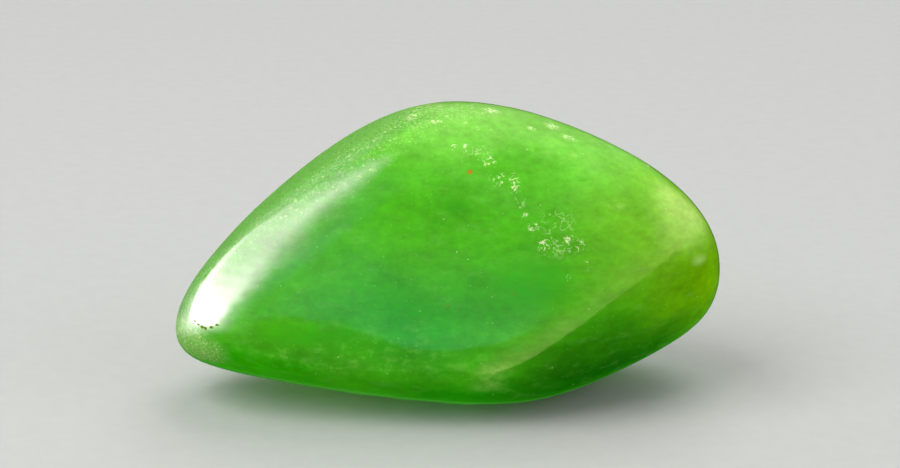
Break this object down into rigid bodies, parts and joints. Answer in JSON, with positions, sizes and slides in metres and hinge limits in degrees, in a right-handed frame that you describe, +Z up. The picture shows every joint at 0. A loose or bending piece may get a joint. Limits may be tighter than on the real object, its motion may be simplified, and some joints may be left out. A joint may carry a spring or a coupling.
{
  "type": "tumbled chrysoprase pebble",
  "caption": "Smooth tumbled pebble of translucent apple-green chrysoprase, a worn rhomb in outline, that rests on a small flat underneath.",
  "frame": {"origin": "on the surface that the stone rests on, below the middle of its bounding box", "axes": "+Z up; +X along the stone's long axis, towards its blunt end; the broad front face looks along -Y"},
  "size_m": [0.032, 0.0146, 0.0175],
  "materials": {
    "chrysoprase": "polished, translucent"
  },
  "bodies": {
    "root": {"pebble": "chrysoprase"}
  },
  "joints": []
}
